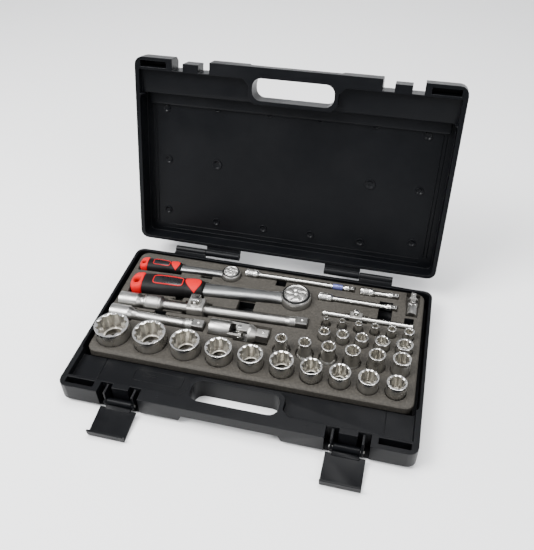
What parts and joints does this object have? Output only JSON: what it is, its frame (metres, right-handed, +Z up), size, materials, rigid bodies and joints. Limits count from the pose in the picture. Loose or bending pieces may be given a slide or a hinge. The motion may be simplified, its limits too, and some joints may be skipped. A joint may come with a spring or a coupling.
{
  "type": "socket wrench set in case",
  "caption": "Socket wrench set in a hinged plastic carrying case, with ratchets, sockets, extension bars, universal joints and sliding heads in a moulded tray.",
  "frame": {"origin": "middle of the underside of the case base, on the surface it lies on", "axes": "+X to the right along the case's long side, +Y from the handle to the hinges, +Z up"},
  "size_m": [0.42, 0.4027, 0.2833],
  "materials": {
    "case_black": "fine texture",
    "tray_grey": "matt",
    "plain_steel": "drawn",
    "satin_chrome": "satin",
    "polished_chrome": "polished",
    "grip_black": "soft matt",
    "grip_red": "satin"
  },
  "bodies": {
    "case_base": {"case_base": "case_black", "tray": "tray_grey", "latch_pin_left": "plain_steel", "latch_pin_right": "plain_steel", "hinge_pin_left": "plain_steel", "hinge_pin_right": "plain_steel"},
    "case_lid": {"case_lid": "case_black"},
    "latch_left": {"latch_left": "case_black"},
    "latch_right": {"latch_right": "case_black"},
    "ratchet_half": {"ratchet_half_body": "satin_chrome", "ratchet_half_grip": "grip_black", "ratchet_half_end_cap": "grip_red"},
    "ratchet_half_dial": {"ratchet_half_dial": "polished_chrome"},
    "ratchet_half_drive": {"ratchet_half_drive": "polished_chrome"},
    "ratchet_quarter": {"ratchet_quarter_body": "satin_chrome", "ratchet_quarter_grip": "grip_black", "ratchet_quarter_end_cap": "grip_red"},
    "ratchet_quarter_dial": {"ratchet_quarter_dial": "polished_chrome"},
    "ratchet_quarter_drive": {"ratchet_quarter_drive": "polished_chrome"},
    "extension_half_250mm": {"extension_half_250mm": "satin_chrome"},
    "slide_head_half": {"slide_head_half": "satin_chrome"},
    "extension_half_125mm": {"extension_half_125mm": "satin_chrome"},
    "universal_joint_half": {"universal_joint_half_socket_yoke": "satin_chrome"},
    "universal_joint_half_cross": {"universal_joint_half_cross": "satin_chrome"},
    "universal_joint_half_drive_yoke": {"universal_joint_half_drive_yoke": "satin_chrome"},
    "universal_joint_quarter": {"universal_joint_quarter_socket_yoke": "satin_chrome"},
    "universal_joint_quarter_cross": {"universal_joint_quarter_cross": "satin_chrome"},
    "universal_joint_quarter_drive_yoke": {"universal_joint_quarter_drive_yoke": "satin_chrome"},
    "slide_bar_quarter": {"slide_bar_quarter": "polished_chrome"},
    "slide_head_quarter": {"slide_head_quarter": "satin_chrome"},
    "extension_quarter_150mm": {"extension_quarter_150mm": "polished_chrome"},
    "extension_quarter_100mm": {"extension_quarter_100mm": "polished_chrome"},
    "extension_quarter_50mm": {"extension_quarter_50mm": "polished_chrome"},
    "socket_half_32mm": {"socket_half_32mm": "polished_chrome"},
    "socket_half_30mm": {"socket_half_30mm": "polished_chrome"},
    "socket_half_27mm": {"socket_half_27mm": "polished_chrome"},
    "socket_half_24mm": {"socket_half_24mm": "polished_chrome"},
    "socket_half_22mm": {"socket_half_22mm": "polished_chrome"},
    "socket_half_21mm": {"socket_half_21mm": "polished_chrome"},
    "socket_half_19mm": {"socket_half_19mm": "polished_chrome"},
    "socket_half_18mm": {"socket_half_18mm": "polished_chrome"},
    "socket_half_17mm": {"socket_half_17mm": "polished_chrome"},
    "socket_half_16mm": {"socket_half_16mm": "polished_chrome"},
    "socket_half_10mm": {"socket_half_10mm": "polished_chrome"},
    "socket_half_11mm": {"socket_half_11mm": "polished_chrome"},
    "socket_half_12mm": {"socket_half_12mm": "polished_chrome"},
    "socket_half_13mm": {"socket_half_13mm": "polished_chrome"},
    "socket_half_14mm": {"socket_half_14mm": "polished_chrome"},
    "socket_half_15mm": {"socket_half_15mm": "polished_chrome"},
    "socket_quarter_9mm": {"socket_quarter_9mm": "polished_chrome"},
    "socket_quarter_10mm": {"socket_quarter_10mm": "polished_chrome"},
    "socket_quarter_11mm": {"socket_quarter_11mm": "polished_chrome"},
    "socket_quarter_12mm": {"socket_quarter_12mm": "polished_chrome"},
    "socket_quarter_13mm": {"socket_quarter_13mm": "polished_chrome"},
    "socket_quarter_4mm": {"socket_quarter_4mm": "polished_chrome"},
    "socket_quarter_5mm": {"socket_quarter_5mm": "polished_chrome"},
    "socket_quarter_5.5mm": {"socket_quarter_5.5mm": "polished_chrome"},
    "socket_quarter_6mm": {"socket_quarter_6mm": "polished_chrome"},
    "socket_quarter_7mm": {"socket_quarter_7mm": "polished_chrome"},
    "socket_quarter_8mm": {"socket_quarter_8mm": "polished_chrome"}
  },
  "joints": [
    {"name": "lid_hinge", "type": "hinge", "parent": "case_base", "child": "case_lid", "pos_m": [0, 0.1384, 0.0297], "axis": [1, 0, 0], "range_deg": [0, 105.6]},
    {"name": "latch_left_hinge", "type": "hinge", "parent": "case_base", "child": "latch_left", "pos_m": [-0.134, -0.1245, 0.0108], "axis": [-1, 0, 0], "range_deg": [0, 97]},
    {"name": "latch_right_hinge", "type": "hinge", "parent": "case_base", "child": "latch_right", "pos_m": [0.134, -0.1245, 0.0108], "axis": [-1, 0, 0], "range_deg": [0, 97]},
    {"name": "ratchet_half_lift", "type": "slide", "parent": "case_base", "child": "ratchet_half", "axis": [0, 0, -1], "range_m": [-0.06, 0]},
    {"name": "ratchet_half_drive_spin", "type": "hinge", "parent": "ratchet_half", "child": "ratchet_half_drive", "pos_m": [0.0352, 0.0729, 0.029], "axis": [0, 0, 1], "continuous": true},
    {"name": "ratchet_half_dial_turn", "type": "hinge", "parent": "ratchet_half", "child": "ratchet_half_dial", "pos_m": [0.0352, 0.0729, 0.029], "axis": [0, 0, 1], "range_deg": [0, 90]},
    {"name": "ratchet_quarter_lift", "type": "slide", "parent": "case_base", "child": "ratchet_quarter", "axis": [0, 0, -1], "range_m": [-0.06, 0]},
    {"name": "ratchet_quarter_drive_spin", "type": "hinge", "parent": "ratchet_quarter", "child": "ratchet_quarter_drive", "pos_m": [-0.062, 0.1002, 0.029], "axis": [0, 0, 1], "continuous": true},
    {"name": "ratchet_quarter_dial_turn", "type": "hinge", "parent": "ratchet_quarter", "child": "ratchet_quarter_dial", "pos_m": [-0.062, 0.1002, 0.029], "axis": [0, 0, 1], "range_deg": [0, 90]},
    {"name": "extension_half_250mm_lift", "type": "slide", "parent": "case_base", "child": "extension_half_250mm", "axis": [0, 0, -1], "range_m": [-0.06, 0]},
    {"name": "slide_head_half_slide", "type": "slide", "parent": "extension_half_250mm", "child": "slide_head_half", "axis": [0.9991, 0.0424, 0], "range_m": [-0.006, 0.006]},
    {"name": "slide_bar_quarter_lift", "type": "slide", "parent": "case_base", "child": "slide_bar_quarter", "axis": [0, 0, -1], "range_m": [-0.06, 0]},
    {"name": "slide_head_quarter_slide", "type": "slide", "parent": "slide_bar_quarter", "child": "slide_head_quarter", "axis": [1, 0, 0], "range_m": [-0.006, 0.006]},
    {"name": "universal_joint_half_lift", "type": "slide", "parent": "case_base", "child": "universal_joint_half", "axis": [0, 0, -1], "range_m": [-0.06, 0]},
    {"name": "universal_joint_half_bend", "type": "hinge", "parent": "universal_joint_half", "child": "universal_joint_half_cross", "pos_m": [-0.0216, 0.0015, 0.028], "axis": [0, 1, 0], "range_deg": [-35, 0]},
    {"name": "universal_joint_half_sway", "type": "hinge", "parent": "universal_joint_half_cross", "child": "universal_joint_half_drive_yoke", "pos_m": [-0.0216, 0.0015, 0.028], "axis": [0, 0, 1], "range_deg": [-8, 8]},
    {"name": "universal_joint_quarter_lift", "type": "slide", "parent": "case_base", "child": "universal_joint_quarter", "axis": [0, 0, -1], "range_m": [-0.06, 0]},
    {"name": "universal_joint_quarter_bend", "type": "hinge", "parent": "universal_joint_quarter", "child": "universal_joint_quarter_cross", "pos_m": [0.1856, 0.0987, 0.029], "axis": [-1, 0, 0], "range_deg": [-35, 0]},
    {"name": "universal_joint_quarter_sway", "type": "hinge", "parent": "universal_joint_quarter_cross", "child": "universal_joint_quarter_drive_yoke", "pos_m": [0.1856, 0.0987, 0.029], "axis": [0, 0, 1], "range_deg": [-8, 8]},
    {"name": "extension_half_125mm_lift", "type": "slide", "parent": "case_base", "child": "extension_half_125mm", "axis": [0, 0, -1], "range_m": [-0.06, 0]},
    {"name": "extension_quarter_150mm_lift", "type": "slide", "parent": "case_base", "child": "extension_quarter_150mm", "axis": [0, 0, -1], "range_m": [-0.06, 0]},
    {"name": "extension_quarter_100mm_lift", "type": "slide", "parent": "case_base", "child": "extension_quarter_100mm", "axis": [0, 0, -1], "range_m": [-0.06, 0]},
    {"name": "extension_quarter_50mm_lift", "type": "slide", "parent": "case_base", "child": "extension_quarter_50mm", "axis": [0, 0, -1], "range_m": [-0.06, 0]},
    {"name": "socket_half_32mm_lift", "type": "slide", "parent": "case_base", "child": "socket_half_32mm", "axis": [0, 0, -1], "range_m": [-0.06, 0]},
    {"name": "socket_half_30mm_lift", "type": "slide", "parent": "case_base", "child": "socket_half_30mm", "axis": [0, 0, -1], "range_m": [-0.06, 0]},
    {"name": "socket_half_27mm_lift", "type": "slide", "parent": "case_base", "child": "socket_half_27mm", "axis": [0, 0, -1], "range_m": [-0.06, 0]},
    {"name": "socket_half_24mm_lift", "type": "slide", "parent": "case_base", "child": "socket_half_24mm", "axis": [0, 0, -1], "range_m": [-0.06, 0]},
    {"name": "socket_half_22mm_lift", "type": "slide", "parent": "case_base", "child": "socket_half_22mm", "axis": [0, 0, -1], "range_m": [-0.06, 0]},
    {"name": "socket_half_21mm_lift", "type": "slide", "parent": "case_base", "child": "socket_half_21mm", "axis": [0, 0, -1], "range_m": [-0.06, 0]},
    {"name": "socket_half_19mm_lift", "type": "slide", "parent": "case_base", "child": "socket_half_19mm", "axis": [0, 0, -1], "range_m": [-0.06, 0]},
    {"name": "socket_half_18mm_lift", "type": "slide", "parent": "case_base", "child": "socket_half_18mm", "axis": [0, 0, -1], "range_m": [-0.06, 0]},
    {"name": "socket_half_17mm_lift", "type": "slide", "parent": "case_base", "child": "socket_half_17mm", "axis": [0, 0, -1], "range_m": [-0.06, 0]},
    {"name": "socket_half_16mm_lift", "type": "slide", "parent": "case_base", "child": "socket_half_16mm", "axis": [0, 0, -1], "range_m": [-0.06, 0]},
    {"name": "socket_half_10mm_lift", "type": "slide", "parent": "case_base", "child": "socket_half_10mm", "axis": [0, 0, -1], "range_m": [-0.06, 0]},
    {"name": "socket_half_11mm_lift", "type": "slide", "parent": "case_base", "child": "socket_half_11mm", "axis": [0, 0, -1], "range_m": [-0.06, 0]},
    {"name": "socket_half_12mm_lift", "type": "slide", "parent": "case_base", "child": "socket_half_12mm", "axis": [0, 0, -1], "range_m": [-0.06, 0]},
    {"name": "socket_half_13mm_lift", "type": "slide", "parent": "case_base", "child": "socket_half_13mm", "axis": [0, 0, -1], "range_m": [-0.06, 0]},
    {"name": "socket_half_14mm_lift", "type": "slide", "parent": "case_base", "child": "socket_half_14mm", "axis": [0, 0, -1], "range_m": [-0.06, 0]},
    {"name": "socket_half_15mm_lift", "type": "slide", "parent": "case_base", "child": "socket_half_15mm", "axis": [0, 0, -1], "range_m": [-0.06, 0]},
    {"name": "socket_quarter_9mm_lift", "type": "slide", "parent": "case_base", "child": "socket_quarter_9mm", "axis": [0, 0, -1], "range_m": [-0.06, 0]},
    {"name": "socket_quarter_10mm_lift", "type": "slide", "parent": "case_base", "child": "socket_quarter_10mm", "axis": [0, 0, -1], "range_m": [-0.06, 0]},
    {"name": "socket_quarter_11mm_lift", "type": "slide", "parent": "case_base", "child": "socket_quarter_11mm", "axis": [0, 0, -1], "range_m": [-0.06, 0]},
    {"name": "socket_quarter_12mm_lift", "type": "slide", "parent": "case_base", "child": "socket_quarter_12mm", "axis": [0, 0, -1], "range_m": [-0.06, 0]},
    {"name": "socket_quarter_13mm_lift", "type": "slide", "parent": "case_base", "child": "socket_quarter_13mm", "axis": [0, 0, -1], "range_m": [-0.06, 0]},
    {"name": "socket_quarter_4mm_lift", "type": "slide", "parent": "case_base", "child": "socket_quarter_4mm", "axis": [0, 0, -1], "range_m": [-0.06, 0]},
    {"name": "socket_quarter_5mm_lift", "type": "slide", "parent": "case_base", "child": "socket_quarter_5mm", "axis": [0, 0, -1], "range_m": [-0.06, 0]},
    {"name": "socket_quarter_5.5mm_lift", "type": "slide", "parent": "case_base", "child": "socket_quarter_5.5mm", "axis": [0, 0, -1], "range_m": [-0.06, 0]},
    {"name": "socket_quarter_6mm_lift", "type": "slide", "parent": "case_base", "child": "socket_quarter_6mm", "axis": [0, 0, -1], "range_m": [-0.06, 0]},
    {"name": "socket_quarter_7mm_lift", "type": "slide", "parent": "case_base", "child": "socket_quarter_7mm", "axis": [0, 0, -1], "range_m": [-0.06, 0]},
    {"name": "socket_quarter_8mm_lift", "type": "slide", "parent": "case_base", "child": "socket_quarter_8mm", "axis": [0, 0, -1], "range_m": [-0.06, 0]}
  ]
}
